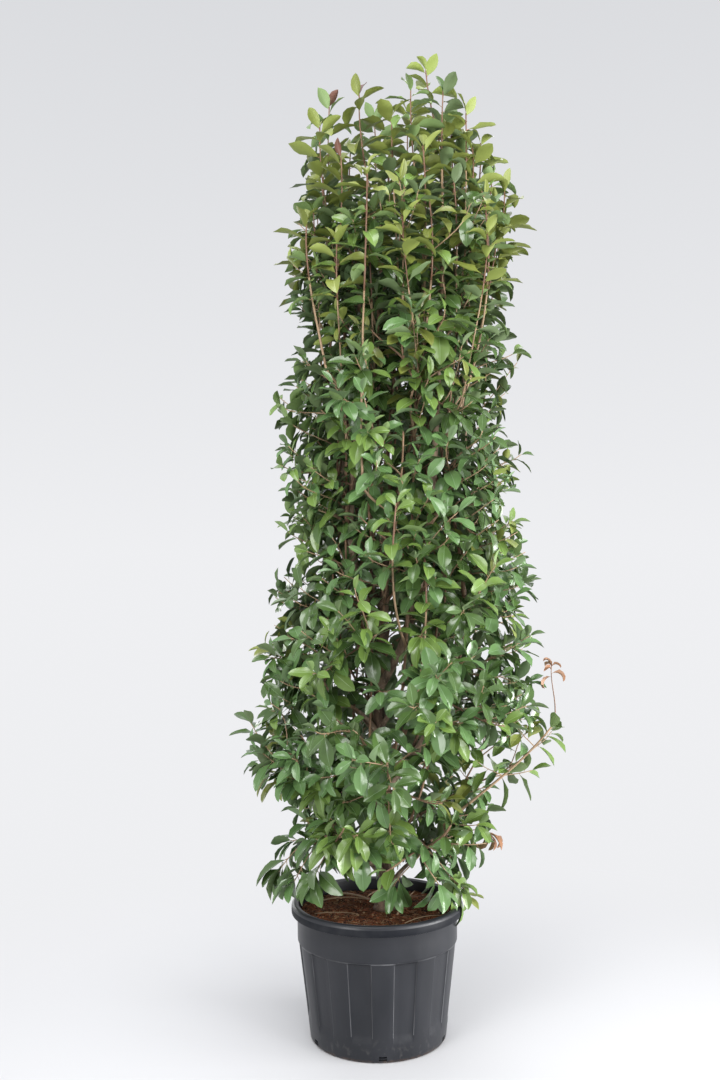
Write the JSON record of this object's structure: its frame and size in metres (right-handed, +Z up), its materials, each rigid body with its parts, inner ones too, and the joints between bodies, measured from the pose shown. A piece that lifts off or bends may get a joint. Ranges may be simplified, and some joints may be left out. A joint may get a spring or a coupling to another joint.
{
  "type": "potted_photinia_shrub",
  "caption": "Tall columnar photinia shrub with dark glossy leaves below and light young leaves above, in a round black plastic nursery pot",
  "frame": {"origin": "centre of the flat underside of the pot", "axes": "+Z up the plant, -Y towards the viewer of the picture, +X to the viewer's right"},
  "size_m": [1.0585, 1.0246, 3.0722],
  "materials": {
    "black_plastic": "satin",
    "compost": "matte",
    "bark": "matte",
    "deep_leaf": "gloss",
    "young_leaf": "satin"
  },
  "bodies": {
    "root": {"bough_low_back": "bark", "bough_low_front": "bark", "bough_low_left": "bark", "bough_low_right": "bark", "bough_skirt_back_left": "bark", "bough_skirt_back_right": "bark", "bough_skirt_front_left": "bark", "bough_skirt_front_right": "bark", "bough_waist_back_left": "bark", "bough_waist_back_right": "bark", "bough_waist_front_left": "bark", "bough_waist_front_right": "bark", "compost": "compost", "foliage_chest_back_left": "deep_leaf", "foliage_chest_back_right": "deep_leaf", "foliage_chest_front_left": "deep_leaf", "foliage_chest_front_right": "deep_leaf", "foliage_crest_back": "young_leaf", "foliage_crest_back_left": "young_leaf", "foliage_crest_front_left": "young_leaf", "foliage_crest_front_right": "young_leaf", "foliage_crest_middle": "young_leaf", "foliage_crest_right": "young_leaf", "foliage_low_back": "deep_leaf", "foliage_low_front": "deep_leaf", "foliage_low_left": "deep_leaf", "foliage_low_right": "deep_leaf", "foliage_middle_back": "deep_leaf", "foliage_middle_front": "deep_leaf", "foliage_middle_left": "deep_leaf", "foliage_middle_right": "deep_leaf", "foliage_skirt_back_left": "deep_leaf", "foliage_skirt_back_right": "deep_leaf", "foliage_skirt_front_left": "deep_leaf", "foliage_skirt_front_right": "deep_leaf", "foliage_upper_back": "young_leaf", "foliage_upper_front": "young_leaf", "foliage_upper_left": "young_leaf", "foliage_upper_right": "young_leaf", "foliage_waist_back_left": "deep_leaf", "foliage_waist_back_right": "deep_leaf", "foliage_waist_front_left": "deep_leaf", "foliage_waist_front_right": "deep_leaf", "leader_back": "bark", "leader_back_left": "bark", "leader_front_left": "bark", "leader_front_right": "bark", "leader_right": "bark", "pot": "black_plastic", "trunk": "bark"}
  },
  "joints": []
}
